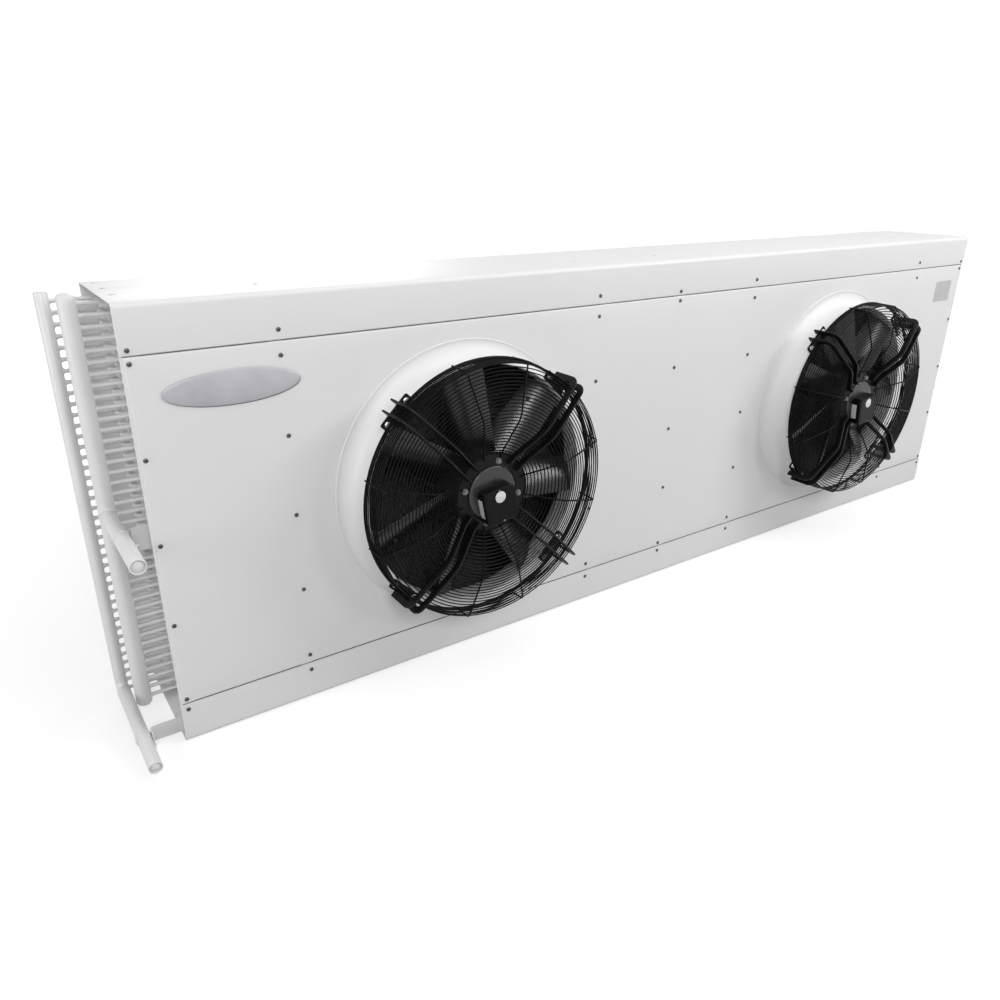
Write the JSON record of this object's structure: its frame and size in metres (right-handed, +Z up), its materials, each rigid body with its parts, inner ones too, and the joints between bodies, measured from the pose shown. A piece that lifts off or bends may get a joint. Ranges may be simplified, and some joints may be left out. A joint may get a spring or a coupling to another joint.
{
  "type": "air-cooled refrigeration condenser",
  "caption": "Wall or floor standing finned-coil condenser: a long sheet-steel casing with axial fans behind wire guards and pipe headers at one end.",
  "frame": {"origin": "centre of the casing's footprint, on its underside", "axes": "+X along the casing, away from the pipe headers; +Y from the fans to the open back of the coil; +Z up"},
  "size_m": [3.2761, 0.548, 1.04],
  "materials": {
    "casing_paint": "off-white powder coat, semi-matt",
    "coil_fins": "bare fin stock",
    "pipe_paint": "off-white paint over copper pipe",
    "bracket_paint": "off-white powder coat over folded steel",
    "guard_black": "black powder coat",
    "motor_grey": "grey painted casting",
    "box_black": "black moulding",
    "impeller_black": "black paint"
  },
  "bodies": {
    "casing": {"bellmouths": "casing_paint", "bottom_panel": "casing_paint", "centre_partition": "casing_paint", "fan_stiffeners": "casing_paint", "fin_pack": "coil_fins", "front_panel": "casing_paint", "gas_feed_tubes": "pipe_paint", "gas_header": "pipe_paint", "gas_inlet_stub": "pipe_paint", "gas_stub_bracket": "bracket_paint", "guard_frames": "guard_black", "left_end_plate": "casing_paint", "left_return_bends": "pipe_paint", "left_terminal_box": "box_black", "left_terminal_lid": "box_black", "left_wire_guard": "guard_black", "liquid_feed_tubes": "pipe_paint", "liquid_header": "pipe_paint", "liquid_outlet_stub": "pipe_paint", "liquid_stub_bracket": "bracket_paint", "motor_shields": "motor_grey", "right_end_plate": "casing_paint", "right_return_bends": "pipe_paint", "right_terminal_box": "box_black", "right_terminal_lid": "box_black", "right_wire_guard": "guard_black", "stub_clips": "bracket_paint", "top_panel": "casing_paint"},
    "left_fan": {"left_impeller": "impeller_black"},
    "right_fan": {"right_impeller": "impeller_black"}
  },
  "joints": [
    {"name": "left_fan_spin", "type": "hinge", "parent": "casing", "child": "left_fan", "pos_m": [-0.7925, -0.1775, 0.52], "axis": [0, 1, 0], "continuous": true},
    {"name": "right_fan_spin", "type": "hinge", "parent": "casing", "child": "right_fan", "pos_m": [0.7925, -0.1775, 0.52], "axis": [0, 1, 0], "continuous": true}
  ]
}
